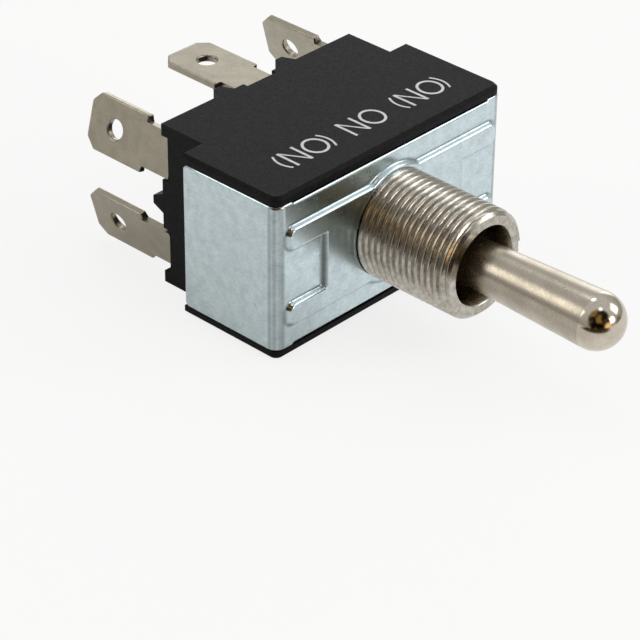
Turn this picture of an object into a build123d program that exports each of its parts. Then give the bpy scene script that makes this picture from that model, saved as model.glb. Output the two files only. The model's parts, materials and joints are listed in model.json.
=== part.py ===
from build123d import *
import os
from math import cos, radians, sin, sqrt

# Two-pole panel toggle switch, three positions, returning to the centre by spring
# Frame: origin on the bushing axis at the bracket's front face, which seats on the panel
# X runs along the case, -Y along the lever, +Y to the terminals, +Z out of the label face

# Steel bracket
sheet = 0.9
bracket_length = 34.0
bracket_height = 16.8
bracket_reach = 13.15
bend_radius = 1.3
front_relief = 0.2
front_relief_inset = 2.6
emboss = 0.55
emboss_slope = 0.4
arm_end_margin = 1.2
arm_edge_margin = 2.5
arm_width = 3.0
arm_corner = 1.1
web_inset = 6.4
boss_radius = 6.8
lug_low = 3.1
lug_high = 6.6
lug_gap = 0.4
lug_proud = 0.4
lug_relief = 0.2
flange_corner = 0.5

# Moulded case
lip_height = 1.05
lip_reach = 13.3
lip_shy = 0.1
shoulder_width = 3.0
base_depth = 19.3
plan_corner = 1.1
edge_bevel = 0.35
end_wall = 2.2
long_wall = 1.65
floor_depth = 12.4
ledge_height = 1.9
ledge_width = 0.9
rib_height = 1.8
rib_width = 1.2
seat_gap = 0.05

# Rear face of the case
recess_depth = 0.9
outer_recess_height = 5.2
outer_recess_start = 8.6
middle_recess_half = 2.8
middle_recess_edge = 0.5
middle_recess_height = 2.95
top_rebate_half = 2.1
top_rebate_depth = 0.6
barrier_offset = 4.6
barrier_base = 2.3
barrier_slope = 65
barrier_height = 1.45

# Insulating liner behind the bracket
liner = 0.25
liner_margin = 0.45

# Quick-connect terminals
tab_width = 6.35
tab_thickness = 0.81
tab_tip = 30.9
tab_length = 8.45
tab_corner = 1.3
tab_lead = 0.25
tab_hole = 2.2
tab_hole_back = 4.0
neck_width = 4.8
shank_width = 2.0
middle_shank_width = 4.0
outer_column_inset = 0.9
outer_row_offset = 1.1
middle_row_inset = 1.15
tab_tilt = 15.0
pole_inset = 3.4
foot_width = 4.4
foot_inner_end = 3.3
middle_foot_half = 2.1
terminal_clearance = 0.02

# Threaded bushing
bushing_radius = 5.95
bushing_length = 12.6
bushing_chamfer = 0.45
mouth_radius = 4.3
lip_radius = 3.55
collar_margin = 1.0
collar_thickness = 1.0
neck_radius = 6.2
keyway_width = 1.5
keyway_depth = 0.8
hole_gap = 0.05

# Lever and its pivot
pivot_depth = 6.2
ball_radius = 3.9
socket_gap = 0.05
tip_radius = 3.0
tip_centre = 26.9
shaft_radius = 2.34
tail_neck = 1.2
tail_radius = 1.7
tail_centre = 5.0
tail_land = 0.4
tail_chamfer = 0.8
ball_zone = 2.4
ball_shoulder = 1.0
pin_radius = 0.8
pin_half_length = 4.9
pin_gap = 0.03
slot_reach = 5.0
retainer_bore = 3.25
retainer_gap = 0.05

# Sliding carriage
carriage_half_length = 5.7
carriage_top = 3.4
carriage_side_gap = 0.2
slide_gap = 0.06
tail_gap = 0.08
rail_inset = 1.7
rail_width = 1.2
slot_end = 7.3
slot_half_width = 2.2
spring_pocket = 2.1
pocket_margin = 0.12

# Moving contact clips and the bowed leaf springs behind them
clip_thickness = 0.45
clip_width = 3.6
clip_rise = 1.1
clip_far = 3.9
clip_near = 1.5
pad_half = 0.45
clip_slope = 0.8
clip_end = 0.7
clip_end_rise = 0.55
clip_gap = 0.05
leaf_half_length = 1.5
leaf_width = 2.4
leaf_thickness = 0.2
leaf_room = 1.0

# Return springs
return_spring_radius = 1.35
return_spring_wire = 0.35
return_spring_turns = 4
return_spring_depth = 8.3
return_seat_depth = 0.5
return_seat_radius = 1.7
spring_end_gap = 0.05

# Sizes that follow
half_length = bracket_length / 2
half_height = bracket_height / 2
half_thickness = half_height + lip_height
flange_inside = half_length - sheet
front_relief_half = half_length - front_relief_inset
arm_half_length = half_length - arm_end_margin
arm_high = half_height - arm_edge_margin
arm_middle = arm_high - arm_width / 2
web_half_length = half_length - web_inset
case_front = sheet + liner
case_half_length = half_length - lip_shy
base_half_length = half_length - shoulder_width
base_length = 2 * base_half_length
lug_end = base_half_length + lug_gap
outer_column = base_half_length - outer_column_inset
middle_row = half_thickness - middle_row_inset
middle_recess_high = half_thickness - middle_recess_edge
middle_recess_middle = middle_recess_high - middle_recess_height / 2
collar_radius = half_height - collar_margin
lug_back = bracket_reach + lug_proud
lug_front = lug_back - sheet
cavity_half_length = flange_inside - seat_gap - end_wall
cavity_half_height = half_thickness - long_wall
pole_row = cavity_half_height - pole_inset
outer_row = pole_row + outer_row_offset
rail_middle = cavity_half_height - rail_inset - rail_width / 2
foot_top = floor_depth - tab_thickness
recess_floor = base_depth - recess_depth
emboss_inside = sheet - emboss
collar_back = sheet + collar_thickness
socket_radius = ball_radius + socket_gap
carriage_bottom = floor_depth - ledge_height - slide_gap
clip_bottom = foot_top - clip_gap
clip_top = clip_bottom - clip_rise - clip_thickness
clip_offset = (clip_far - clip_near) / 2
clip_half_span = (clip_far + clip_near) / 2
clip_flat = clip_half_span - pad_half - clip_slope
lip_depth = pivot_depth + sqrt(socket_radius**2 - lip_radius**2)
ring_front = sqrt(ball_radius**2 - retainer_bore**2) - pivot_depth + retainer_gap

os.makedirs("parts", exist_ok=True)


def save(piece, name):
    piece.label = name
    export_step(piece, f"parts/{name}.step")


# The terminals stand in two rows of three: outer tabs lean, middle tabs lie flat
terminal_places = {
    "terminal_upper_left": (-1, 1),
    "terminal_upper_middle": (0, 1),
    "terminal_upper_right": (1, 1),
    "terminal_lower_left": (-1, -1),
    "terminal_lower_middle": (0, -1),
    "terminal_lower_right": (1, -1),
}


def tab_plane(column, row):
    lean = radians(90 + column * row * tab_tilt if column else 0)
    height = outer_row if column else middle_row
    return Plane(
        origin=(column * outer_column, 0, row * height),
        x_dir=(cos(lean), 0, sin(lean)),
        z_dir=(-sin(lean), 0, cos(lean)),
    )


# Blade and foot in one piece; a gap above zero gives the pocket that the case keeps for it
def terminal_body(column, row, gap=0.0):
    shank = shank_width if column else middle_shank_width
    near = pole_row - foot_width / 2
    if column:
        far = pole_row + foot_width / 2
        reach = outer_column + tab_thickness / 2
        low, high = sorted((column * foot_inner_end, column * reach))
    else:
        far = middle_row + tab_thickness / 2
        low, high = -middle_foot_half, middle_foot_half
    with BuildPart() as blade:
        with BuildSketch(tab_plane(column, row)):
            with Locations((0, foot_top)):
                Rectangle(
                    shank + 2 * gap, base_depth - foot_top, align=(Align.CENTER, Align.MIN)
                )
            if not gap:
                with Locations((0, recess_floor)):
                    Rectangle(
                        neck_width, tab_tip - tab_length - recess_floor + tab_corner,
                        align=(Align.CENTER, Align.MIN),
                    )
                with BuildSketch(mode=Mode.PRIVATE) as tab:
                    with Locations((0, tab_tip - tab_length / 2)):
                        Rectangle(tab_width, tab_length)
                    chamfer(vertices().group_by(Axis.Y)[-1], tab_corner)
                    with Locations((0, tab_tip - tab_hole_back)):
                        Circle(tab_hole / 2, mode=Mode.SUBTRACT)
                add(tab.sketch)
        extrude(amount=tab_thickness / 2 + gap, both=True)
        if not gap:
            tip_edges = faces().sort_by(Axis.Y)[-1].edges().sort_by(SortBy.LENGTH)
            chamfer(tip_edges[-2:], tab_lead)
        with Locations(((low + high) / 2, (foot_top + floor_depth) / 2, row * (near + far) / 2)):
            Box(high - low + 2 * gap, tab_thickness + 2 * gap, far - near + 2 * gap)
    return blade.part


terminals = {name: terminal_body(*place) for name, place in terminal_places.items()}
pockets = [terminal_body(*place, terminal_clearance) for place in terminal_places.values()]


# Bracket: folded channel with an H-shaped embossing, a bushing hole and four clenched lugs
with BuildPart() as bracket:
    with BuildSketch():
        Rectangle(bracket_length, bracket_reach, align=(Align.CENTER, Align.MIN))
        fillet(vertices().group_by(Axis.Y)[0], bend_radius)
        with Locations((0, sheet)):
            RectangleRounded(
                2 * flange_inside,
                2 * bracket_reach,
                bend_radius - sheet,
                align=(Align.CENTER, Align.MIN),
                mode=Mode.SUBTRACT,
            )
    extrude(amount=half_height, both=True)
    chamfer(edges().filter_by(Axis.X).group_by(Axis.Y)[-1], flange_corner)
    with BuildSketch(Plane.XZ):
        with GridLocations(0, 2 * half_height, 1, 2):
            Rectangle(2 * front_relief_half, 2 * front_relief)
    extrude(amount=-sheet, mode=Mode.SUBTRACT)
    # The embossing stands out at the front
    with BuildSketch(Plane.XZ) as raised:
        with GridLocations(0, 2 * arm_middle, 1, 2):
            RectangleRounded(2 * arm_half_length, arm_width, arm_corner)
        Rectangle(2 * web_half_length, 2 * arm_high)
        Circle(boss_radius)
    extrude(amount=emboss)
    chamfer(faces().sort_by(Axis.Y)[0].edges(), emboss_slope)
    # and is hollow at the back
    with BuildSketch(Plane.XZ.offset(-sheet)) as hollow:
        add(raised.sketch_local)
        offset(amount=-emboss_slope)
    extrude(amount=emboss, mode=Mode.SUBTRACT)
    with BuildSketch(Plane.XZ.offset(emboss)):
        Circle(bushing_radius + hole_gap)
    extrude(amount=-emboss - sheet, mode=Mode.SUBTRACT)
    # Lugs folded over the case's shoulders, with a relief cut beside each
    lug_middle = (lug_low + lug_high) / 2
    lug_width = lug_high - lug_low
    for row in (-1, 1):
        with BuildSketch(Plane.XY.offset(row * lug_middle)):
            with Locations((0, lug_front)):
                Rectangle(bracket_length, bracket_reach, align=(Align.CENTER, Align.MIN))
        extrude(amount=lug_width / 2 + lug_relief, both=True, mode=Mode.SUBTRACT)
        with BuildSketch(Plane.XY.offset(row * lug_middle)):
            Rectangle(bracket_length, lug_back, align=(Align.CENTER, Align.MIN))
            fillet(vertices().group_by(Axis.Y)[-1], sheet)
            Rectangle(
                2 * flange_inside, lug_front, align=(Align.CENTER, Align.MIN), mode=Mode.SUBTRACT
            )
            Rectangle(bracket_length, bend_radius, mode=Mode.SUBTRACT)
            with Locations((0, lug_back)):
                Rectangle(2 * lug_end, 2 * sheet, mode=Mode.SUBTRACT)
        extrude(amount=lug_width / 2, both=True)
save(bracket.part, "bracket")


# Case: deep moulding with lips above and below the bracket and a narrower terminal end
with BuildPart() as case:
    with BuildSketch():
        with Locations((0, lip_shy)):
            Rectangle(
                2 * case_half_length, lip_reach - lip_shy, align=(Align.CENTER, Align.MIN)
            )
        fillet(vertices().group_by(Axis.Y)[0], plan_corner)
        with Locations((0, lip_reach)):
            Rectangle(
                base_length, base_depth - lip_reach, align=(Align.CENTER, Align.MIN)
            )
    extrude(amount=half_thickness, both=True)
    rim = edges().group_by(Axis.Z)[-1] + edges().group_by(Axis.Z)[0]
    front_rim = rim.filter_by(lambda e: e.center().Y < plan_corner)
    chamfer(front_rim, edge_bevel)
    # Recess for the bracket's front and side plates
    with BuildSketch(Plane.XZ) as front_plate:
        Rectangle(bracket_length, bracket_height + 2 * seat_gap)
    extrude(amount=-case_front, mode=Mode.SUBTRACT)
    with BuildSketch(Plane.XZ) as side_plates:
        Rectangle(bracket_length, bracket_height + 2 * seat_gap)
        Rectangle(
            2 * (flange_inside - seat_gap), bracket_height + 2 * seat_gap, mode=Mode.SUBTRACT
        )
    extrude(amount=-lip_reach, mode=Mode.SUBTRACT)
    # Shoulders that the lugs close over
    with BuildSketch(Plane.XZ.offset(seat_gap - lug_front)) as shoulders:
        Rectangle(bracket_length, bracket_height + 2 * seat_gap)
        Rectangle(base_length, bracket_height + 2 * seat_gap, mode=Mode.SUBTRACT)
    extrude(amount=-lip_reach, mode=Mode.SUBTRACT)
    # Cavity, open at the front
    with BuildSketch(Plane.XZ.offset(-case_front)):
        Rectangle(2 * cavity_half_length, 2 * cavity_half_height)
    extrude(amount=case_front - floor_depth, mode=Mode.SUBTRACT)
    # Ledges that carry the carriage and a rib between the poles
    with BuildSketch(Plane.XZ.offset(-floor_depth)):
        with GridLocations(0, 2 * cavity_half_height - ledge_width, 1, 2):
            Rectangle(2 * cavity_half_length, ledge_width)
    extrude(amount=ledge_height)
    with BuildSketch(Plane.XZ.offset(-floor_depth)):
        Rectangle(2 * cavity_half_length, rib_width)
    extrude(amount=rib_height)
    # Round seats for the return springs
    with BuildSketch(Plane.YZ.offset(-cavity_half_length - return_seat_depth)):
        with Locations((return_spring_depth, 0)):
            Circle(return_seat_radius)
    extrude(amount=2 * (cavity_half_length + return_seat_depth), mode=Mode.SUBTRACT)
    # Rear recesses round the terminals
    with BuildSketch(Plane.XZ.offset(-base_depth)):
        outer_span = base_half_length - outer_recess_start
        with GridLocations(2 * outer_recess_start + outer_span, 2 * outer_row, 2, 2):
            Rectangle(outer_span, outer_recess_height)
        with GridLocations(0, 2 * middle_recess_middle, 1, 2):
            Rectangle(2 * middle_recess_half, middle_recess_height)
    extrude(amount=recess_depth, mode=Mode.SUBTRACT)
    with BuildSketch(Plane.XZ.offset(-base_depth)):
        with GridLocations(0, 2 * half_thickness, 1, 2):
            Rectangle(2 * top_rebate_half, half_thickness)
    extrude(amount=top_rebate_depth, mode=Mode.SUBTRACT)
    # Barriers between the terminals, tapered to the rear
    with BuildSketch(Plane.XY.offset(-half_thickness)):
        with GridLocations(2 * barrier_offset, 0, 2, 1):
            with Locations((0, base_depth + barrier_height / 2)):
                Trapezoid(barrier_base, barrier_height, barrier_slope)
    extrude(amount=2 * half_thickness)
    with BuildSketch(Plane.YZ.offset(-base_half_length)):
        with Locations((base_depth + barrier_height / 2, 0)):
            Trapezoid(barrier_base, barrier_height, barrier_slope, rotation=-90)
    extrude(amount=base_length)
    for pocket in pockets:
        add(pocket, mode=Mode.SUBTRACT)
save(case.part, "case")

for name, blade in terminals.items():
    save(blade, name)


# Insulating sheet between the bracket and the case
with BuildPart() as insulator:
    with BuildSketch(Plane.XZ.offset(-sheet)):
        Rectangle(2 * (flange_inside - liner_margin), 2 * (half_height - liner_margin))
        Circle(collar_radius + hole_gap, mode=Mode.SUBTRACT)
    extrude(amount=-liner)
save(insulator.part, "insulator")


# Bushing: collar behind the bracket, conical mouth, spherical seat and two slots for the pivot
with BuildPart() as bushing:
    with BuildSketch():
        Polygon(
            (0, -bushing_length),
            (bushing_radius - bushing_chamfer, -bushing_length),
            (bushing_radius, bushing_chamfer - bushing_length),
            (bushing_radius, emboss_inside),
            (neck_radius, emboss_inside),
            (neck_radius, sheet),
            (collar_radius, sheet),
            (collar_radius, collar_back),
            (0, collar_back),
            align=None,
        )
    revolve(axis=Axis.Y)
    with BuildSketch():
        Polygon(
            (0, -bushing_length),
            (mouth_radius, -bushing_length),
            (lip_radius, -lip_depth),
            (0, -lip_depth),
            align=None,
        )
        with Locations((0, -pivot_depth)):
            Rectangle(
                socket_radius, pivot_depth + collar_back, align=(Align.MIN, Align.MIN)
            )
    revolve(axis=Axis.Y, mode=Mode.SUBTRACT)
    with Locations((0, -pivot_depth, 0)):
        Sphere(socket_radius, mode=Mode.SUBTRACT)
    with BuildSketch(Plane.XY.offset(-slot_reach)):
        with Locations((0, -pivot_depth)):
            Circle(pin_radius + pin_gap)
            Rectangle(
                2 * (pin_radius + pin_gap),
                pivot_depth + collar_back,
                align=(Align.CENTER, Align.MIN),
            )
    extrude(amount=2 * slot_reach, mode=Mode.SUBTRACT)
    with Locations((bushing_radius, -bushing_length / 2 - emboss / 2, 0)):
        Box(2 * keyway_depth, bushing_length - emboss, keyway_width, mode=Mode.SUBTRACT)
save(bushing.part, "bushing")


# Lever: bat with a ball in the bushing's seat and a barrel at the tail
ball_edge = sqrt(ball_radius**2 - ball_zone**2)
taper = (tip_radius - shaft_radius) / (tip_centre - pivot_depth)
with BuildPart() as lever:
    with BuildSketch():
        with BuildLine():
            RadiusArc((0, -tip_centre - tip_radius), (tip_radius, -tip_centre), -tip_radius)
            shoulder = ball_zone + ball_shoulder
            Polyline(
                (tip_radius, -tip_centre),
                (shaft_radius + taper * shoulder, -pivot_depth - shoulder),
                (ball_edge, -pivot_depth - ball_zone),
            )
            ThreePointArc(
                (ball_edge, -pivot_depth - ball_zone),
                (ball_radius, -pivot_depth),
                (ball_edge, -pivot_depth + ball_zone),
            )
            Polyline(
                (ball_edge, -pivot_depth + ball_zone),
                (tail_neck, -pivot_depth + shoulder),
                (tail_neck, tail_centre - tail_land - tail_chamfer),
                (tail_radius, tail_centre - tail_land),
                (tail_radius, tail_centre + tail_land),
                (tail_radius - tail_chamfer, tail_centre + tail_land + tail_chamfer),
                (0, tail_centre + tail_land + tail_chamfer),
                (0, -tip_centre - tip_radius),
            )
        make_face()
    revolve(axis=Axis.Y)
    with Locations((0, -pivot_depth, 0)):
        Cylinder(pin_radius + pin_gap, 3 * ball_radius, mode=Mode.SUBTRACT)
save(lever.part, "lever")

with BuildPart() as pivot_pin:
    with Locations((0, -pivot_depth, 0)):
        Cylinder(pin_radius, 2 * pin_half_length)
save(pivot_pin.part, "pivot_pin")


# Retainer: ring behind the ball with two ears that close the slots behind the pin
with BuildPart() as retainer:
    with BuildSketch():
        with Locations((retainer_bore, ring_front)):
            Rectangle(
                socket_radius - hole_gap - retainer_bore,
                collar_back - ring_front,
                align=(Align.MIN, Align.MIN),
            )
    revolve(axis=Axis.Y)
    ear_front = pin_radius + retainer_gap - pivot_depth
    ear_low = socket_radius + pin_gap
    with BuildSketch(Plane.XY.offset(-pin_half_length)):
        with Locations((0, ear_front)):
            Rectangle(2 * pin_radius, collar_back - ear_front, align=(Align.CENTER, Align.MIN))
    extrude(amount=2 * pin_half_length)
    with BuildSketch(Plane.XZ.offset(-ring_front)):
        Circle(ear_low)
    extrude(amount=pivot_depth, mode=Mode.SUBTRACT)
    with BuildSketch(Plane.XZ.offset(-collar_back)):
        Circle(retainer_bore)
    extrude(amount=pivot_depth + collar_back, mode=Mode.SUBTRACT)
save(retainer.part, "retainer")


# Carriage: block that the lever's tail slides sideways between the ledges and the collar
with BuildPart() as carriage:
    with BuildSketch(Plane.XZ.offset(-carriage_top)):
        Rectangle(2 * carriage_half_length, 2 * (cavity_half_height - carriage_side_gap))
    extrude(amount=carriage_top - carriage_bottom)
    with BuildSketch(Plane.XZ.offset(-carriage_top)):
        with GridLocations(0, 2 * rail_middle, 1, 2):
            Rectangle(2 * carriage_half_length, rail_width)
    extrude(amount=carriage_top - collar_back - slide_gap)
    with BuildSketch(Plane.XZ.offset(-carriage_top)):
        Rectangle(2 * (tail_radius + tail_gap), 2 * slot_half_width)
    extrude(amount=carriage_top - slot_end, mode=Mode.SUBTRACT)
    # Pockets for the return springs
    for side in (-1, 1):
        with BuildSketch(Plane.YZ.offset(side * carriage_half_length)):
            with Locations((return_spring_depth, 0)):
                Circle(return_spring_radius + return_spring_wire / 2 + pocket_margin)
        extrude(amount=-side * spring_pocket, mode=Mode.SUBTRACT)
    # Seats for the clips and, above them, room for the leaf springs
    seat_half = clip_flat + clip_slope * clip_thickness / clip_rise + clip_gap
    leaf_half = leaf_half_length + pocket_margin
    for half, width, roof in (
        (seat_half, clip_width + 2 * clip_gap, clip_top - clip_gap),
        (leaf_half, leaf_width + 2 * pocket_margin, clip_top - leaf_room),
    ):
        for row in (-1, 1):
            with BuildSketch(Plane.XZ.offset(-carriage_bottom)):
                with Locations((row * clip_offset, row * pole_row)):
                    Rectangle(2 * half, width)
            extrude(amount=carriage_bottom - roof, mode=Mode.SUBTRACT)
save(carriage.part, "carriage")


# Each clip bridges a middle terminal and one outer terminal in every position of the carriage
for row, name in ((1, "contact_clip_upper"), (-1, "contact_clip_lower")):
    lower_line = [
        (clip_half_span + pad_half + clip_end, clip_bottom - clip_end_rise),
        (clip_half_span + pad_half, clip_bottom),
        (clip_half_span - pad_half, clip_bottom),
        (clip_flat, clip_bottom - clip_rise),
    ]
    lower_line += [(-x, y) for x, y in reversed(lower_line)]
    upper_line = [(x, y - clip_thickness) for x, y in reversed(lower_line)]
    outline = [(x + row * clip_offset, y) for x, y in lower_line + upper_line]
    with BuildPart() as clip:
        with BuildSketch(Plane.XY.offset(row * pole_row)):
            Polygon(*outline, align=None)
        extrude(amount=clip_width / 2, both=True)
    save(clip.part, name)


# Leaf springs: bowed strips whose middle presses on the clip
leaf_ends = clip_top - leaf_room + spring_end_gap + leaf_thickness
leaf_middle = clip_top - spring_end_gap
for row, name in ((1, "contact_spring_upper"), (-1, "contact_spring_lower")):
    centre = row * clip_offset
    start, end = centre - leaf_half_length, centre + leaf_half_length
    with BuildPart() as leaf:
        with BuildSketch(Plane.XY.offset(row * pole_row)):
            with BuildLine():
                front = ThreePointArc((start, leaf_ends), (centre, leaf_middle), (end, leaf_ends))
                back = ThreePointArc(
                    (end, leaf_ends - leaf_thickness),
                    (centre, leaf_middle - leaf_thickness),
                    (start, leaf_ends - leaf_thickness),
                )
                Line(front @ 1, back @ 0)
                Line(back @ 1, front @ 0)
            make_face()
        extrude(amount=leaf_width / 2, both=True)
    save(leaf.part, name)


# Return springs: coils between the carriage and the case's end walls
return_spring_end = spring_end_gap + return_spring_wire / 2
spring_inner = carriage_half_length - spring_pocket + return_spring_end
spring_outer = cavity_half_length + return_seat_depth - return_spring_end
for side, name in ((-1, "return_spring_left"), (1, "return_spring_right")):
    with BuildPart() as spring:
        with BuildLine() as path:
            Helix(
                (spring_outer - spring_inner) / return_spring_turns,
                spring_outer - spring_inner,
                return_spring_radius,
                center=(side * spring_inner, return_spring_depth, 0),
                direction=(side, 0, 0),
            )
        with BuildSketch(Plane(origin=path.line @ 0, z_dir=path.line % 0)):
            RegularPolygon(return_spring_wire / 2, 4)
        sweep()
    save(spring.part, name)
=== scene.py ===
import json
import math

import bmesh
import bpy
import numpy as np
from mathutils import Matrix, Vector


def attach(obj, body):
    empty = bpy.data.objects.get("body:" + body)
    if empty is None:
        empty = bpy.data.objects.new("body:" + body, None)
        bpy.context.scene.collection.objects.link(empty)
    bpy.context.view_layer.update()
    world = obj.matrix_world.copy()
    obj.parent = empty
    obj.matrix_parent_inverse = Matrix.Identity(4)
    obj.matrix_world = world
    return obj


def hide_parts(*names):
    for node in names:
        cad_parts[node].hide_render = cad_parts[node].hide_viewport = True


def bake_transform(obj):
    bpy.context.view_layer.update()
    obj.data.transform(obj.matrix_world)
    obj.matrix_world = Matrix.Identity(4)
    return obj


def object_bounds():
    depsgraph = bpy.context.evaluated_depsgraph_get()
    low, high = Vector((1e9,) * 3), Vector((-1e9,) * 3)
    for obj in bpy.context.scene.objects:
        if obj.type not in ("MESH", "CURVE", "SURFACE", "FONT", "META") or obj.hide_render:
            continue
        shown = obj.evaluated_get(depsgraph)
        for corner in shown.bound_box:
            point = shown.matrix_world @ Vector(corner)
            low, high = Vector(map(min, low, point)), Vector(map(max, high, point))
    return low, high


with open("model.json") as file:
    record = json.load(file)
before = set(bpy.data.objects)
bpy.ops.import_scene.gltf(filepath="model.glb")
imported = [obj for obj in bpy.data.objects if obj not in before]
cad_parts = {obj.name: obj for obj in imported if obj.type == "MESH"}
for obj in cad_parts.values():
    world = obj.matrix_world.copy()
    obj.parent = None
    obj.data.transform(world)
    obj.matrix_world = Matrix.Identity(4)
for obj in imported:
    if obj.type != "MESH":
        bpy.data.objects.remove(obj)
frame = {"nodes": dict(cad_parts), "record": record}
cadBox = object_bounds()
mm = 0.001
merge = 0.0005  # points nearer than this, in mm, are one


def linearColour(code):
    # sRGB hex to linear red, green, blue and a full alpha
    values = [int(code[i : i + 2], 16) / 255 for i in (1, 3, 5)]
    return [v / 12.92 if v <= 0.04045 else ((v + 0.055) / 1.055) ** 2.4 for v in values] + [1.0]


def addNode(tree, kind, inputs=None, **settings):
    node = tree.nodes.new(kind)
    for key, value in settings.items():
        setattr(node, key, value)
    for key, value in (inputs or {}).items():
        if isinstance(value, bpy.types.NodeSocket):
            tree.links.new(value, node.inputs[key])
        else:
            node.inputs[key].default_value = value
    return node


def addObject(name, data):
    holder = bpy.data.objects.new(name, data)
    bpy.context.scene.collection.objects.link(holder)
    return holder


# Sizes in mm, colours as sRGB hex. stretch below 1 draws the grain out along that axis. The real grain
# is finer, a few hundredths of a mm, and wouldn't show, so it is drawn as coarse as it needs to show.
finishes = {
    # Phenolic, moulded: nearly black, matte, with a fine grain that catches a little light
    "black_moulding": dict(
        light="#1B1B1C", dark="#09090A", metal=0.0, rough=(0.5, 0.6), grain=0.13, gloss=0.11,
        stretch=(1, 1, 1), blotch=0.24, bump=0.010, edge=0.14,
    ),
    # Zinc plating on rolled steel: bluish and soft in its mirror, with the rolling grain along the strip, and
    # a darker colour for painted shade in the folds and streaks on the bends
    "zinc_steel": dict(
        light="#D2E1E5", dark="#BDCCD1", metal=1.0, rough=(0.18, 0.28), grain=0.22, gloss=0.5,
        stretch=(0.35, 0.35, 1), blotch=1.3, bump=0.0028, edge=0.1, shade_and_streaks="#3C3A34",
    ),
    # Nickel plating on turned brass: a warm grey mirror, broken up by the turning marks
    "nickel_brass": dict(
        light="#C6C2B9", dark="#9F988B", metal=1.0, rough=(0.16, 0.28), grain=0.22, gloss=0.5,
        stretch=(0.5, 1, 0.5), blotch=0.9, bump=0.007, edge=0.02,
    ),
    # Brass inside the seat, made darker as painted shade of the deep bore: dark and golden, uneven in its
    # gloss
    "bore_shade_brass": dict(
        light="#B4A98F", dark="#655D4E", metal=1.0, rough=(0.18, 0.4), grain=0.3, gloss=0.5,
        stretch=(1, 1, 1), blotch=1.5, bump=0.003, edge=0.05,
    ),
    # Nickel plating, turned finely round the lever's shaft: satin, with its light drawn along the shaft
    "nickel_lever": dict(
        light="#BDB5A7", dark="#A9A192", metal=1.0, rough=(0.24, 0.32), grain=0.12, gloss=0.5,
        stretch=(0.4, 1, 0.4), blotch=2.5, bump=0.0025, edge=0.05,
    ),
    # Nickel plating, polished on the lever's end: an almost clear mirror
    "nickel_polished": dict(
        light="#CDC5B7", dark="#BEB5A5", metal=1.0, rough=(0.13, 0.18), grain=0.3, gloss=0.5,
        stretch=(1, 1, 1), blotch=2.0, bump=0.0004, edge=0.03,
    ),
    # Tinned brass strip, rolled lengthwise: dull grey with a trace of yellow, streaked along the tab
    "tinned_brass": dict(
        light="#AAA495", dark="#9D9788", metal=1.0, rough=(0.3, 0.38), grain=0.12, gloss=0.5,
        stretch=(1, 0.3, 1), blotch=1.6, bump=0.0035, edge=0.06,
    ),
    # Steel, ground along the pin: plain grey with fine lines
    "steel_pin": dict(
        light="#A9A9A7", dark="#8C8C8A", metal=1.0, rough=(0.25, 0.35), grain=0.1, gloss=0.5,
        stretch=(1, 1, 0.2), blotch=1.0, bump=0.001, edge=0.04,
    ),
    # Drawn spring wire: grey and smooth
    "spring_steel": dict(
        light="#9A9A9A", dark="#7C7C7C", metal=1.0, rough=(0.25, 0.4), grain=0.1, gloss=0.5,
        stretch=(1, 1, 1), blotch=1.0, bump=0.001, edge=0.03,
    ),
    # Rolled copper alloy faced with silver: pale, with a warm tint
    "contact_metal": dict(
        light="#D8D4CA", dark="#B9A98F", metal=1.0, rough=(0.3, 0.4), grain=0.15, gloss=0.5,
        stretch=(0.3, 1, 1), blotch=1.5, bump=0.001, edge=0.05,
    ),
    # Nylon, moulded: ivory with a soft sheen, in two shades
    "retainer_moulding": dict(
        light="#D9D2BE", dark="#CBC3AC", metal=0.0, rough=(0.4, 0.5), grain=0.2, gloss=0.5,
        stretch=(1, 1, 1), blotch=3.0, bump=0.002, edge=0.08,
    ),
    "carriage_moulding": dict(
        light="#DCD6C6", dark="#CEC7B2", metal=0.0, rough=(0.4, 0.5), grain=0.2, gloss=0.5,
        stretch=(1, 1, 1), blotch=3.0, bump=0.002, edge=0.08,
    ),
    # Pressed fibre sheet: grey-brown and dry
    "fibre_sheet": dict(
        light="#5A4A3A", dark="#473A2E", metal=0.0, rough=(0.6, 0.75), grain=0.15, gloss=0.4,
        stretch=(0.4, 1, 1), blotch=2.0, bump=0.004, edge=0.05,
    ),
    # Pad-printed ink: an even white, slightly grey
    "white_ink": dict(
        light="#E2E2E6", dark="#CDCDD2", metal=0.0, rough=(0.45, 0.55), grain=0.08, gloss=0.4,
        stretch=(1, 1, 1), blotch=0.6, bump=0.001, edge=0.02,
    ),
}
# Noise detail and roughness of grain and blotches; where their sum goes from dark to light
pattern = dict(
    grainDetail=4.0, grainRoughness=0.6, blotchDetail=3.0, blotchRoughness=0.55,
    darkest=0.75, lightest=1.25, bevelSamples=4,
)


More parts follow.
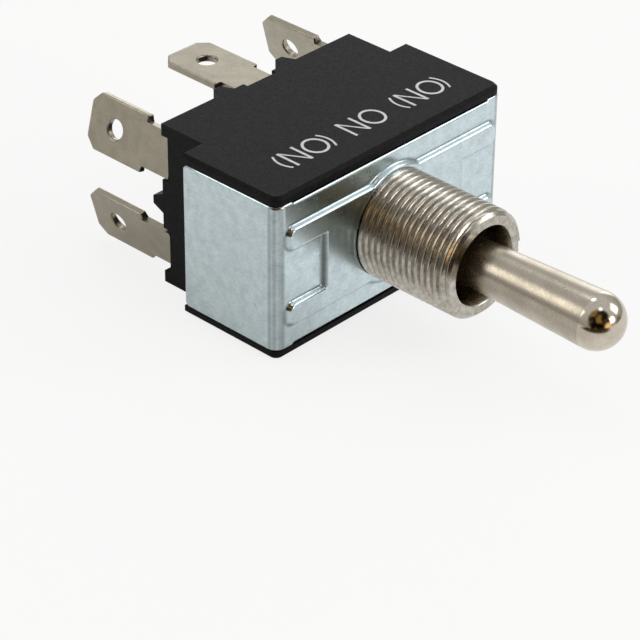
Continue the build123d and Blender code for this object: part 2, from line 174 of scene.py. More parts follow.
def makeMaterial(name, finish):
    material = bpy.data.materials.new(name)
    material.use_nodes = True
    tree = material.node_tree
    shader = tree.nodes["Principled BSDF"]
    place = addNode(tree, "ShaderNodeTexCoord").outputs["Object"]
    drawn = addNode(tree, "ShaderNodeMapping", {"Vector": place, "Scale": finish["stretch"]}).outputs[0]
    grain = addNode(
        tree, "ShaderNodeTexNoise",
        {
            "Vector": drawn, "Scale": 1 / (finish["grain"] * mm),
            "Detail": pattern["grainDetail"], "Roughness": pattern["grainRoughness"],
        },
    ).outputs["Fac"]
    blotch = addNode(
        tree, "ShaderNodeTexNoise",
        {
            "Vector": place, "Scale": 1 / (finish["blotch"] * mm),
            "Detail": pattern["blotchDetail"], "Roughness": pattern["blotchRoughness"],
        },
    ).outputs["Fac"]
    both = addNode(tree, "ShaderNodeMath", {0: grain, 1: blotch}, operation="ADD").outputs[0]
    span = {"Value": both, "From Min": pattern["darkest"], "From Max": pattern["lightest"]}
    share = addNode(tree, "ShaderNodeMapRange", span).outputs["Result"]
    colour = addNode(
        tree, "ShaderNodeMixRGB",
        {"Fac": share, "Color1": linearColour(finish["dark"]), "Color2": linearColour(finish["light"])},
    ).outputs["Color"]
    if "shade_and_streaks" in finish:
        # Darker where the mesh says so: painted shade in the tight folds and on the web's side walls, and
        # streaks over the bends
        shade_and_streaks = addNode(tree, "ShaderNodeAttribute", attribute_name="shade_and_streaks").outputs["Fac"]
        colour = addNode(
            tree, "ShaderNodeMixRGB", {"Fac": shade_and_streaks, "Color1": colour, "Color2": linearColour(finish["shade_and_streaks"])}
        ).outputs["Color"]
    low, high = finish["rough"]
    rough = addNode(tree, "ShaderNodeMapRange", {**span, "To Min": high, "To Max": low}).outputs["Result"]
    rounded = addNode(
        tree, "ShaderNodeBevel", {"Radius": finish["edge"] * mm}, samples=pattern["bevelSamples"]
    ).outputs["Normal"]
    relief = addNode(
        tree, "ShaderNodeBump", {"Height": grain, "Distance": finish["bump"] * mm, "Normal": rounded}
    ).outputs["Normal"]
    shader.inputs["Metallic"].default_value = finish["metal"]
    shader.inputs["Specular IOR Level"].default_value = finish["gloss"]
    tree.links.new(colour, shader.inputs["Base Color"])
    tree.links.new(rough, shader.inputs["Roughness"])
    tree.links.new(relief, shader.inputs["Normal"])
    return material


materials = {name: makeMaterial(name, finish) for name, finish in finishes.items()}
slots = {part["node"]: part["material_slot"] for part in frame["record"]["subparts"]}
for name, piece in frame["nodes"].items():
    if not piece.material_slots:
        piece.data.materials.append(materials[slots[name]])
    for place in piece.material_slots:
        place.material = materials[slots[name]]
print("materials done")


def gridMesh(name, points, material, sharp, shade_and_streaks=None):
    # A surface over a grid of points in mm: neighbours in row and column make one face
    rows, columns = points.shape[:2]
    index = np.arange(rows * columns).reshape(rows, columns)
    faces = np.stack(
        [index[:-1, :-1], index[1:, :-1], index[1:, 1:], index[:-1, 1:]], axis=-1
    ).reshape(-1, 4)
    mesh = bpy.data.meshes.new(name)
    mesh.from_pydata((points.reshape(-1, 3) * mm).tolist(), [], faces.tolist())
    # A darkening for each point, painted shade and streaks, kept as a mesh attribute
    if shade_and_streaks is not None:
        mesh.attributes.new("shade_and_streaks", "FLOAT", "POINT").data.foreach_set("value", shade_and_streaks.ravel())
    work = bmesh.new()
    work.from_mesh(mesh)
    bmesh.ops.remove_doubles(work, verts=work.verts, dist=merge * mm)
    bmesh.ops.recalc_face_normals(work, faces=work.faces)
    work.to_mesh(mesh)
    work.free()
    mesh.shade_smooth()
    mesh.set_sharp_from_angle(angle=math.radians(sharp))
    mesh.materials.append(material)
    return addObject(name, mesh)


def turned(profile, angles):
    # One ring round Y for each (radius, y): x = radius * cos(a), z = radius * sin(a)
    radius, y = np.array(profile).T[:, :, None]
    return np.stack([radius * np.cos(angles), y + 0 * angles, radius * np.sin(angles)], axis=-1)


def capped(rings, first, last):
    # A tube closed by drawing a ring together to a point at each end
    ends = [np.broadcast_to(point, rings[:1].shape) for point in (first, last)]
    return np.concatenate([ends[0], rings, ends[1]])


def faceCentres(mesh):
    # The middle of every face, in mm
    centres = np.empty(3 * len(mesh.polygons), dtype=np.float32)
    mesh.polygons.foreach_get("center", centres)
    return centres.astype(float).reshape(-1, 3) / mm


# Threaded bushing, turned about Y. The rows of the outside run along the helix:
# y = pitch * (row - a / 2 pi), held between the two ends, and the radius is
# r = crest - depth * (1 - tooth), with tooth = a clipped triangle wave of y / pitch + a / 2 pi.
# Sizes in mm, angles in radians; stops are the rows in one turn of the thread
bushing = dict(
    crest=5.95, depth=0.45, pitch=0.84, front=-12.6, back=-0.55, chamfer=0.55, crestFlat=0.11, rootFlat=0.05,
    mouth=4.3, mouthEdge=0.14, lip=3.55, lipDepth=-7.93, seat=3.95, seatDepth=-6.2,
    keyWidth=1.5, keyDepth=0.8, keyColumns=7, keyWall=0.004, columns=132, sharp=40.0, shadeEdge=0.02,
    stops=(0.0, 0.04, 0.065, 0.21, 0.375, 0.405, 0.5, 0.595, 0.625, 0.79, 0.935, 0.96),
    behind=((5.95, -0.55), (5.95, 0.35), (6.2, 0.35), (6.2, 0.9), (7.4, 0.9), (7.4, 1.9)),
)


def threadRadius(y, a, size):
    phase = (y / size["pitch"] + a / (2 * math.pi)) % 1.0
    slope = 0.5 - size["rootFlat"] - size["crestFlat"]
    tooth = np.clip((0.5 - np.abs(phase - 0.5) - size["rootFlat"]) / slope, 0, 1)
    radius = size["crest"] - size["depth"] * (1 - tooth)
    return np.minimum(radius, size["crest"] - size["chamfer"] + (y - size["front"]))


def bushingPiece(size):
    half = math.asin(size["keyWidth"] / 2 / size["crest"])
    end = 2 * math.pi - half
    key = np.linspace(-half, half, size["keyColumns"])
    wide = np.linspace(half, end, size["columns"])
    angles = np.concatenate([key, [half + size["keyWall"]], wide[1:-1], [end - size["keyWall"], end]])
    turns = (size["back"] - size["front"]) / size["pitch"]
    rows = (np.arange(-1, int(turns) + 3)[:, None] + np.array(size["stops"])).ravel()
    level, a = np.meshgrid(rows, angles, indexing="ij")
    y = size["front"] + size["pitch"] * (level - a / (2 * math.pi) - size["front"] / size["pitch"] % 1.0)
    y = np.clip(y, size["front"], size["back"])
    radius = threadRadius(y, a, size)
    # The keyway's flat floor, at one distance from the axis
    floor = (size["crest"] - size["keyDepth"]) / np.cos(np.where(a > math.pi, a - 2 * math.pi, a))
    inKey = np.zeros_like(a, dtype=bool)
    inKey[:, : len(key)] = True
    inKey[:, -1] = True
    radius = np.where(inKey, np.minimum(radius, floor), radius)
    outside = np.stack([radius * np.cos(a), y, radius * np.sin(a)], axis=-1)
    bore = [
        (size["mouth"] + size["mouthEdge"], size["front"]),
        (size["mouth"], size["front"] + size["mouthEdge"]),
        ((size["mouth"] + size["lip"]) / 2, (size["front"] + size["lipDepth"]) / 2),
        (size["lip"], size["lipDepth"]),
        (size["seat"], size["seatDepth"]),
        (size["seat"], size["behind"][-1][1]),
    ]
    inside = turned(bore, angles)[::-1]
    points = np.concatenate([inside, outside, turned(size["behind"], angles), inside[:1]], axis=0)
    piece = gridMesh("bushing_thread", points, materials["nickel_brass"], size["sharp"])
    piece.data.materials.append(materials["bore_shade_brass"])
    # Faces within the mouth take the darker brass: painted shade of the deep bore
    x, y, z = faceCentres(piece.data).T
    within = np.hypot(x, z) < size["mouth"] + size["shadeEdge"]
    within &= y > size["front"] + size["mouthEdge"]
    piece.data.polygons.foreach_set("material_index", within.astype(np.int32))
    return piece


thread = bushingPiece(bushing)
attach(thread, "housing")
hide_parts("bushing")
print("bushing done", len(thread.data.polygons))


# Lever: a profile of straight lines and arcs turned about Y. The tip and the ball are arcs,
# r = radius * sin(t) and radius * cos(t) round their centres; the shaft is a line between them.
# Sizes in mm; the points are counted along the tip, the shaft and the ball
lever = dict(
    tip=3.05, tipCentre=-26.85, shaft=2.5, shoulder=-9.6, ball=3.9, pivot=-6.2, ballHalf=2.4,
    neck=1.2, neckStart=-2.8, tail=1.7, tailLow=4.6, tailHigh=5.4, tailChamfer=0.8, columns=96,
    tipPoints=22, shaftPoints=12, ballPoints=14, sharp=25.0,
)


def leverPiece(size):
    profile = [
        (size["tip"] * math.sin(t), size["tipCentre"] - size["tip"] * math.cos(t), "nickel_polished")
        for t in np.linspace(0, math.pi / 2, size["tipPoints"])
    ]
    profile += [
        (size["tip"] + (size["shaft"] - size["tip"]) * t,
         size["tipCentre"] + (size["shoulder"] - size["tipCentre"]) * t, "nickel_lever")
        for t in np.linspace(0, 1, size["shaftPoints"])[1:]
    ]
    # The ball and the neck take the darker brass: painted shade inside the bushing
    spread = math.asin(size["ballHalf"] / size["ball"])
    profile += [
        (size["ball"] * math.cos(t), size["pivot"] + size["ball"] * math.sin(t), "bore_shade_brass")
        for t in np.linspace(-spread, spread, size["ballPoints"])
    ]
    profile += [
        (size["neck"], size["neckStart"], "bore_shade_brass"),
        (size["neck"], size["tailLow"] - size["tailChamfer"], "nickel_lever"),
        (size["tail"], size["tailLow"], "nickel_lever"),
        (size["tail"], size["tailHigh"], "nickel_lever"),
        (size["tail"] - size["tailChamfer"], size["tailHigh"] + size["tailChamfer"], "nickel_lever"),
        (0, size["tailHigh"] + size["tailChamfer"], "nickel_lever"),
    ]
    turn = np.linspace(0, 2 * math.pi, size["columns"] + 1)
    points = turned([(r, y) for r, y, _ in profile], turn)
    piece = gridMesh("lever_bat", points, materials["nickel_lever"], size["sharp"])
    names = ["nickel_lever", "nickel_polished", "bore_shade_brass"]
    for name in names[1:]:
        piece.data.materials.append(materials[name])
    # A face takes the finish of the next profile point along Y
    finish = np.array([names.index(name) for _, _, name in profile] + [0], dtype=np.int32)
    nextPoint = np.searchsorted([y for _, y, _ in profile], faceCentres(piece.data)[:, 1])
    piece.data.polygons.foreach_set("material_index", finish[nextPoint])
    return piece


bat = leverPiece(lever)
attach(bat, "lever")
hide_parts("lever")
print("lever done", len(bat.data.polygons))


def smoothStep(t):
    # 3 t^2 - 2 t^3, held between 0 and 1
    t = np.clip(t, 0.0, 1.0)
    return t * t * (3 - 2 * t)


def packed(stops):
    # Grid lines that stand close together only where the surface turns: (start, count) pairs
    lines = [np.linspace(a, b, n, endpoint=False) for (a, n), (b, _) in zip(stops[:-1], stops[1:])]
    return np.concatenate(lines + [[stops[-1][0]]])


# Folded and embossed steel channel, in mm. Its section runs flat across the front, round a quarter
# circle of radius bend on each side, and back along the sides. stops are (start, count) pairs
channel = dict(
    halfLength=17.0, reach=13.15, bend=1.3, sheet=0.9, halfHeight=8.4, corner=0.45,
    # The front is a little lower in the middle
    reliefHeight=8.2, reliefHalf=14.4, reliefBlend=0.35,
    # The embossing: two arms, the web between them and the round boss
    emboss=0.55, slope=0.5, armLow=2.9, armHigh=5.9, armEnd=15.8, armRound=1.1,
    web=10.6, webRound=0.3, boss=6.85, bossBlend=0.12,
    # The edges fall away at the outside
    edge=0.16, edgeWidth=0.26,
    # Where the colour is darkened: painted shade in the folds and on the web's side walls, and streaks on the
    # bends
    foldAt=-0.03, foldWidth=0.13, foldShade=0.55, wallAt=-0.2, wallWidth=0.25, wallFade=0.4, wallShade=1.5,
    bendWorn=(0.1, 0.42), bendNormal=(0.08, 0.995), frontNormal=0.5, streakSeed=4,
    acrossStops=((0, 6), (2.6, 24), (7.2, 10), (9.9, 16), (11.2, 10), (14.2, 22)),
    upStops=((0, 8), (2.4, 18), (3.7, 6), (4.9, 20), (6.6, 10), (7.6, 4), (8.05, 5)),
    sideLines=6, bendLines=12, sharp=50.0,
)


def roundedBox(x, z, halfX, halfZ, corner):
    # Distance to a rectangle with round corners, negative inside
    dx, dz = np.abs(x) - halfX + corner, np.abs(z) - halfZ + corner
    return np.hypot(np.maximum(dx, 0), np.maximum(dz, 0)) + np.minimum(np.maximum(dx, dz), 0) - corner


def smoothUnion(a, b, width):
    # The smaller of two distances, with a fillet where they are within width of each other
    share = np.clip(0.5 + 0.5 * (b - a) / width, 0, 1)
    return b * (1 - share) + a * share - width * share * (1 - share)


def embossing(x, z, size):
    # Height over the plate: emboss * smoothStep(distance inside the outline / slope), and a mask of painted
    # shade
    middle = (size["armLow"] + size["armHigh"]) / 2
    half = (size["armHigh"] - size["armLow"]) / 2
    arms = roundedBox(x, np.abs(z) - middle, size["armEnd"], half, size["armRound"])
    web = roundedBox(x, z, size["web"], size["armHigh"], size["webRound"])
    outline = np.minimum(arms, web)
    outline = smoothUnion(outline, np.hypot(x, z) - size["boss"], size["bossBlend"])
    ramp = np.clip(-outline / size["slope"], 0, 1)
    # Painted shade in a band at the foot of the slopes
    fold = np.exp(-((outline - size["foldAt"]) / size["foldWidth"]) ** 2)
    # The painted shade is strongest on the web's two side walls
    wall = np.exp(-((np.abs(x) - size["web"] - size["wallAt"]) / size["wallWidth"]) ** 2)
    wall = wall * smoothStep((size["armLow"] + size["wallFade"] - np.abs(z)) / size["wallFade"])
    return size["emboss"] * smoothStep(ramp), np.maximum(fold, size["wallShade"] * wall)


def closeEnds(piece):
    # A face over every open rim
    work = bmesh.new()
    work.from_mesh(piece.data)
    rim = [edge for edge in work.edges if edge.is_boundary]
    bmesh.ops.holes_fill(work, edges=rim, sides=0)
    bmesh.ops.recalc_face_normals(work, faces=work.faces)
    work.to_mesh(piece.data)
    work.free()
    return piece


def channelPiece(size):
    length, bend, reach = size["halfLength"], size["bend"], size["reach"]
    flat = length - bend
    front = packed([*size["acrossStops"], (flat, 1)])
    side = packed([(bend, size["sideLines"]), (reach - size["corner"], size["sideLines"]), (reach, 1)])
    turn = np.linspace(0, math.pi / 2, size["bendLines"])[1:-1]
    # The section's line and its outward normal, for the right half and then for both
    x = np.concatenate([front, flat + bend * np.sin(turn), np.full(len(side), length)])
    y = np.concatenate([front * 0, bend - bend * np.cos(turn), side])
    nx = np.concatenate([front * 0, np.sin(turn), np.ones(len(side))])
    ny = np.concatenate([front * 0 - 1, -np.cos(turn), side * 0])
    x, nx = np.concatenate([-x[:0:-1], x]), np.concatenate([-nx[:0:-1], nx])
    y, ny = np.concatenate([y[:0:-1], y]), np.concatenate([ny[:0:-1], ny])
    half = packed([*size["upStops"], (size["halfHeight"], 1)])
    rows = np.concatenate([-half[:0:-1], half]) / size["halfHeight"]
    relief = smoothStep((np.abs(x) - size["reliefHalf"]) / size["reliefBlend"])
    height = size["reliefHeight"] + (size["halfHeight"] - size["reliefHeight"]) * relief
    height = height - np.clip(y - (reach - size["corner"]), 0, None)
    z = rows[None, :] * height[:, None]
    wide = np.ones_like(z)
    atFront = (ny < -size["frontNormal"])[:, None] * wide
    rise, fold = (value * atFront for value in embossing(x[:, None] * wide, z, size))
    # The stamped edges fall away by edge * (1 - distance to the edge / edgeWidth)^2
    fromEdge = np.minimum(height[:, None] - np.abs(z), (reach - y)[:, None] * wide)
    fall = size["edge"] * (1 - np.clip(fromEdge / size["edgeWidth"], 0, 1)) ** 2
    # Streaks along the bend, column by column
    low, high = size["bendWorn"]
    least, most = size["bendNormal"]
    inBend = (np.abs(ny) < most) & (np.abs(ny) > least)
    draw = np.random.default_rng(size["streakSeed"]).uniform(low, high, len(x))
    # Painted shade at the embossing, with the streaks on the bends
    shade_and_streaks = np.clip(size["foldShade"] * fold + np.where(inBend, draw, 0)[:, None], 0, 1)
    # Outer and inner face: the line moved along its normal, by the height and by the sheet
    outer, inner = (
        np.stack([x[:, None] + nx[:, None] * depth, y[:, None] + ny[:, None] * depth, z], axis=-1)
        for depth in (rise - fall, rise - size["sheet"] + fall)
    )
    loop = np.concatenate([outer, inner[:, ::-1], outer[:, :1]], axis=1)
    shade_and_streaks = np.concatenate([shade_and_streaks, shade_and_streaks[:, ::-1] * 0, shade_and_streaks[:, :1]], axis=1)
    return closeEnds(gridMesh("bracket_sheet", loop, materials["zinc_steel"], size["sharp"], shade_and_streaks))


def joined(name, pieces):
    # One piece made of several, with the first one's object
    bpy.ops.object.select_all(action="DESELECT")
    for piece in pieces:
        piece.select_set(True)
    bpy.context.view_layer.objects.active = pieces[0]
    bpy.ops.object.join()
    pieces[0].name = pieces[0].data.name = name
    pieces[0].select_set(False)
    return pieces[0]


# Lugs, in mm: a strip bent round the case's shoulder. Its section, with broken edges, goes along the
# side, round a quarter circle of radius bend and inwards. side and row, -1 or 1, choose the corner
lug = dict(
    low=3.1, high=6.6, start=12.3, back=13.55, inner=14.4, bend=0.95, edge=0.1, proud=0.01,
    bendLines=9, sharp=50.0,
)


def lugPiece(side, row, size, base):
    length, sheet = base["halfLength"] + size["proud"], base["sheet"]
    turn = np.linspace(0, math.pi / 2, size["bendLines"])
    centre = (length - size["bend"], size["back"] - size["bend"])
    x = np.concatenate([[length], centre[0] + size["bend"] * np.cos(turn), [size["inner"]]])
    y = np.concatenate([[size["start"]], centre[1] + size["bend"] * np.sin(turn), [size["back"]]])
    nx = np.concatenate([[1], np.cos(turn), [0]])
    ny = np.concatenate([[0], np.sin(turn), [1]])
    low, high, edge = size["low"], size["high"], size["edge"]
    z, depth = np.array([
        (low, -edge), (low + edge, 0), (high - edge, 0), (high, -edge),
        (high, edge - sheet), (high - edge, -sheet), (low + edge, -sheet), (low, edge - sheet), (low, -edge),
    ]).T
    rings = np.stack([
        side * (x[:, None] + nx[:, None] * depth),
        y[:, None] + ny[:, None] * depth,
        row * z + 0 * x[:, None],
    ], axis=-1)
    points = capped(rings, rings[0].mean(axis=0), rings[-1].mean(axis=0))
    return gridMesh(f"lug_{side}_{row}", points, materials["zinc_steel"], size["sharp"])


sheetPieces = [channelPiece(channel)]
for side in (-1, 1):
    for row in (-1, 1):
        sheetPieces.append(lugPiece(side, row, lug, channel))
sheetPiece = joined("bracket_sheet", sheetPieces)
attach(sheetPiece, "housing")
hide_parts("bracket")
print("bracket done", len(sheetPiece.data.polygons))


# Tabs: blanked strip, with its edges broken by the die. The form is the node's own, and edges that turn
# by more than fold degrees are rounded where they stand outside the case. Sizes in mm, angles in degrees
tabs = dict(broken=0.17, segments=3, fold=40.0, outside=22.0, merge=0.001, flat=1.0, profile=0.5)


def brokenEdges(node, name, material, size):
    mesh = frame["nodes"][node].data.copy()
    work = bmesh.new()
    work.from_mesh(mesh)
    bmesh.ops.remove_doubles(work, verts=work.verts, dist=size["merge"] * mm)
    bmesh.ops.dissolve_limit(
        work, angle_limit=math.radians(size["flat"]), verts=work.verts, edges=work.edges
    )
    edges = [
        edge for edge in work.edges
        if len(edge.link_faces) == 2 and edge.calc_face_angle() > math.radians(size["fold"])
        and min(vertex.co.y for vertex in edge.verts) > size["outside"] * mm
    ]
    for face in work.faces:
        face.smooth = False
    rounded = bmesh.ops.bevel(
        work, geom=edges, offset=size["broken"] * mm, offset_type="OFFSET",
        segments=size["segments"], profile=size["profile"], affect="EDGES", clamp_overlap=False,
    )
    for face in rounded["faces"]:
        face.smooth = True
    bmesh.ops.recalc_face_normals(work, faces=work.faces)
    work.to_mesh(mesh)
    work.free()
    mesh.name = name
    mesh.materials.clear()
    mesh.materials.append(material)
    return addObject(name, mesh)


for node in sorted(frame["nodes"]):
    if node.startswith("terminal_"):
        tab = brokenEdges(node, node.replace("terminal", "tab"), materials["tinned_brass"], tabs)
        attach(tab, "housing")
        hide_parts(node)
        print(tab.name, len(tab.data.polygons))


# Return springs: round wire wound about X, from the inner end out:
# x = inner + (outer - inner) * t / turns, and the angle round X is 90 + 360 * t degrees. Sizes in mm
coil = dict(
    radius=1.35, wire=0.34, depth=8.3, inner=3.83, outer=14.12, turns=4, perTurn=44, sides=10,
    sharp=50.0,
)


def coilPiece(name, side, size):
    t = np.linspace(0, size["turns"], size["turns"] * size["perTurn"] + 1)
    pitch = (size["outer"] - size["inner"]) / size["turns"]
    a = side * (math.pi / 2 + 2 * math.pi * t)
    radial = np.stack([0 * a, np.cos(a), np.sin(a)], axis=1)
    centre = np.stack([side * (size["inner"] + pitch * t), 0 * a + size["depth"], 0 * a], axis=1)
    centre = centre + size["radius"] * radial
    # The wire's round section stands across the direction of the wire
    ahead = np.gradient(centre, axis=0)
    ahead /= np.linalg.norm(ahead, axis=1)[:, None]
    across = np.cross(ahead, radial)[:, None]
    around = np.linspace(0, 2 * math.pi, size["sides"] + 1)[None, :, None]
    section = np.cos(around) * radial[:, None] + np.sin(around) * across
    rings = centre[:, None] + size["wire"] / 2 * section
    points = capped(rings, centre[0], centre[-1])
    return gridMesh(name, points, materials["spring_steel"], size["sharp"])


for side, place in ((-1, "left"), (1, "right")):
    spring = coilPiece(f"coil_{place}", side, coil)
    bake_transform(spring)
    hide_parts(f"return_spring_{place}")
    print(spring.name, len(spring.data.polygons))


# Lettering on the case, in mm, read from the terminals' side: three words of an O and an N, the
# outer two in round brackets. groups holds each word's centre and whether it has brackets
lettering = dict(
    height=3.13, top=3.33, stroke=0.31, level=9.45, thick=0.012,
    groups=((10.96, True), (2.14, False), (-6.33, True)), nRight=-1.835, nWide=2.27, nLean=1.3, oHalf=1.27,
    bow=0.46, bowHalf=1.47, bowStroke=0.24, bowGap=(1.97, 1.04), ringPoints=48, bowPoints=13, sharp=30.0,
)


def stroke(path, width, closed=False, narrowest=0.5):
    # Both sides of a path, half a width away from it, with each corner on its bisector
    path = np.array(path, dtype=float)
    ahead = np.roll(path, -1, axis=0) - path
    behind = path - np.roll(path, 1, axis=0)
    if not closed:
        ahead[-1], behind[0] = behind[-1], ahead[0]
    ahead /= np.linalg.norm(ahead, axis=1)[:, None]
    behind /= np.linalg.norm(behind, axis=1)[:, None]
    middle = ahead + behind
    middle /= np.linalg.norm(middle, axis=1)[:, None]
    reach = width / 2 / np.maximum((middle * ahead).sum(axis=1), narrowest)
    across = np.stack([-middle[:, 1], middle[:, 0]], axis=1) * reach[:, None]
    sides = np.stack([path + across, path - across], axis=1)
    return np.concatenate([sides, sides[:1]]) if closed else sides


def plate(name, outline, level, thick, material):
    # A flat letter with one outline, and its rim
    mesh = bpy.data.meshes.new(name)
    count = len(outline)
    low, high = (
        [(x * mm, y * mm, height * mm) for x, y in outline] for height in (level - thick, level + thick)
    )
    rim = [(k, (k + 1) % count, count + (k + 1) % count, count + k) for k in range(count)]
    mesh.from_pydata(low + high, [], rim + [tuple(range(count, 2 * count)), tuple(range(count))[::-1]])
    work = bmesh.new()
    work.from_mesh(mesh)
    bmesh.ops.recalc_face_normals(work, faces=work.faces)
    bmesh.ops.triangulate(work, faces=work.faces)
    work.to_mesh(mesh)
    work.free()
    mesh.materials.append(material)
    return addObject(name, mesh)


def letterN(start, right, top, bottom, width, lean):
    # The diagonal runs from the foot of one stem to the head of the other, lean stem widths high
    rise = width * lean
    return [
        (start, bottom), (start, top), (start + width, top), (start + width, bottom - rise),
        (right - width, top), (right, top), (right, bottom), (right - width, bottom),
        (right - width, top + rise), (start + width, bottom),
    ]


def letteringPiece(size):
    # An O is an ellipse; a bracket is a parabola, bow * (share of its half height)^2 deep
    top, bottom = size["top"], size["top"] + size["height"]
    half = size["height"] / 2
    middle = size["top"] + half
    ink = materials["white_ink"]
    pieces, strokes = [], []
    turn = np.linspace(0, 2 * math.pi, size["ringPoints"], endpoint=False)
    bow = np.linspace(-1, 1, size["bowPoints"])
    for centre, brackets in size["groups"]:
        ring = np.stack([
            centre + size["oHalf"] * np.cos(turn), middle + (half - size["stroke"] / 2) * np.sin(turn),
        ], axis=1)
        strokes.append(stroke(ring, size["stroke"], closed=True))
        right = centre + size["nRight"]
        start = right - size["nWide"]
        outline = letterN(start, right, top, bottom, size["stroke"], size["nLean"])
        pieces.append(plate("letter_n", outline, size["level"], size["thick"], ink))
        if brackets:
            for tip, way in ((centre + size["bowGap"][0], 1), (start - size["bowGap"][1], -1)):
                arc = np.stack([tip - way * size["bow"] * bow**2, middle + bow * size["bowHalf"]], axis=1)
                strokes.append(stroke(arc, size["bowStroke"]))
    for count, sides in enumerate(strokes):
        level = np.full(sides.shape[:2] + (1,), size["level"] + size["thick"])
        high = np.concatenate([sides, level], axis=-1)
        low = high - [0, 0, 2 * size["thick"]]
        loop = np.stack([high[:, 0], high[:, 1], low[:, 1], low[:, 0], high[:, 0]], axis=1)
        pieces.append(closeEnds(gridMesh(f"stroke_{count}", loop, ink, size["sharp"])))
    return joined("case_lettering", pieces)


letters = letteringPiece(lettering)
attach(letters, "housing")
print("lettering done")


# Camera: placed from the photograph, with the photograph's frame. Angles in degrees, the rest in mm:
# its distance from the origin, and how far the origin lies off the middle of the picture
camera = dict(
    azimuth=-46.717, elevation=32.938, roll=0.516, distance=286.74, across=7.377, up=10.184,
    lens=157.124, sensor=36.0, nearest=10, farthest=20000,
)


def placeCamera(size):
    azimuth, elevation, roll = (math.radians(size[k]) for k in ("azimuth", "elevation", "roll"))
    ahead = Vector((
        -math.sin(azimuth) * math.cos(elevation),
        math.cos(azimuth) * math.cos(elevation),
        -math.sin(elevation),
    ))
    right = Vector((math.cos(azimuth), math.sin(azimuth), 0.0))
    up = right.cross(ahead)
    right, up = (
        right * math.cos(roll) + up * math.sin(roll),
        up * math.cos(roll) - right * math.sin(roll),
    )
    place = (-ahead * size["distance"] - right * size["across"] - up * size["up"]) * mm
    lens = bpy.data.cameras.new("camera")
    lens.lens = size["lens"]
    lens.sensor_width = size["sensor"]
    lens.clip_start = size["nearest"] * mm
    lens.clip_end = size["farthest"] * mm
    holder = addObject("camera", lens)
    turn = Matrix((right, up, -ahead)).transposed().to_4x4()
    holder.matrix_world = Matrix.Translation(place) @ turn
    bpy.context.scene.camera = holder


placeCamera(camera)
print("camera done")


# Floor: a white sheet, of which a share shows as plain white. Metal sees less of that white towards the left,
# as painted shade in its reflections, and in front, that way, past a set distance, it sees a painted dark
# reflection of a room, though the sheet goes on. Distances in metres, grain in mm
floorSheet = dict(
    reach=3.0, light="#FAFAFA", dark="#F6F6F6", grain=50 / 3, rough=0.9, white=0.82,
    metalFrom=(-0.014, 0.25), metalTo=(-0.004, 0.85),
    way=(-0.70, -0.71, 0), end=(0.045, 0.06), side=(0.68, 0.82), room="#5A452C", reflectionStrength=0.5,
)


def floorMaterial(size):
    material = bpy.data.materials.new("studio_floor")
    material.use_nodes = True
    tree = material.node_tree
    shader = tree.nodes["Principled BSDF"]
    place = addNode(tree, "ShaderNodeTexCoord").outputs["Object"]
    grain = addNode(
        tree, "ShaderNodeTexNoise", {"Vector": place, "Scale": 1 / (size["grain"] * mm)}
    ).outputs["Fac"]
    colour = addNode(
        tree, "ShaderNodeMixRGB",
        {"Fac": grain, "Color1": linearColour(size["dark"]), "Color2": linearColour(size["light"])},
    ).outputs["Color"]
    tree.links.new(colour, shader.inputs["Base Color"])
    shader.inputs["Roughness"].default_value = size["rough"]
    # The share of plain white: the same for the camera and through glass; for metal it falls towards the
    # left, as painted shade in reflections
    rays = addNode(tree, "ShaderNodeLightPath").outputs
    seen = addNode(
        tree, "ShaderNodeMath", {0: rays["Is Camera Ray"], 1: rays["Is Transmission Ray"]}, operation="ADD"
    ).outputs[0]
    seen = addNode(tree, "ShaderNodeMath", {0: seen, 1: size["white"]}, operation="MULTIPLY").outputs[0]
    across = addNode(tree, "ShaderNodeSeparateXYZ", {"Vector": place}).outputs["X"]
    mirrored = addNode(
        tree, "ShaderNodeMapRange",
        {
            "Value": across, "From Min": size["metalFrom"][0], "From Max": size["metalTo"][0],
            "To Min": size["metalFrom"][1], "To Max": size["metalTo"][1],
        },
    ).outputs["Result"]
    share = addNode(
        tree, "ShaderNodeMath", {0: rays["Is Glossy Ray"], 1: mirrored, 2: seen},
        operation="MULTIPLY_ADD", use_clamp=True,
    ).outputs[0]
    white = addNode(tree, "ShaderNodeEmission", {"Color": (1, 1, 1, 1), "Strength": 1.0})
    paper = addNode(
        tree, "ShaderNodeMixShader", {0: share, 1: shader.outputs["BSDF"], 2: white.outputs["Emission"]}
    )
    # A painted dark reflection of a room, for metal only: past the distance end along the way, and within its
    # side limits as the cosine to the way
    ahead = addNode(
        tree, "ShaderNodeVectorMath", {0: place, 1: size["way"]}, operation="DOT_PRODUCT"
    ).outputs["Value"]
    past = addNode(
        tree, "ShaderNodeMapRange", {"Value": ahead, "From Min": size["end"][0], "From Max": size["end"][1]}
    ).outputs["Result"]
    unit = addNode(tree, "ShaderNodeVectorMath", {0: place}, operation="NORMALIZE").outputs["Vector"]
    facing = addNode(
        tree, "ShaderNodeVectorMath", {0: unit, 1: size["way"]}, operation="DOT_PRODUCT"
    ).outputs["Value"]
    within = addNode(
        tree, "ShaderNodeMapRange",
        {"Value": facing, "From Min": size["side"][0], "From Max": size["side"][1]},
    ).outputs["Result"]
    paintedReflection = addNode(tree, "ShaderNodeMath", {0: past, 1: within}, operation="MULTIPLY").outputs[0]
    paintedReflection = addNode(
        tree, "ShaderNodeMath", {0: paintedReflection, 1: rays["Is Glossy Ray"]}, operation="MULTIPLY"
    ).outputs[0]
    room = addNode(
        tree, "ShaderNodeEmission", {"Color": linearColour(size["room"]), "Strength": size["reflectionStrength"]}
    )
    whole = addNode(
        tree, "ShaderNodeMixShader", {0: paintedReflection, 1: paper.outputs[0], 2: room.outputs["Emission"]}
    )
    tree.links.new(whole.outputs[0], tree.nodes["Material Output"].inputs["Surface"])
    return material


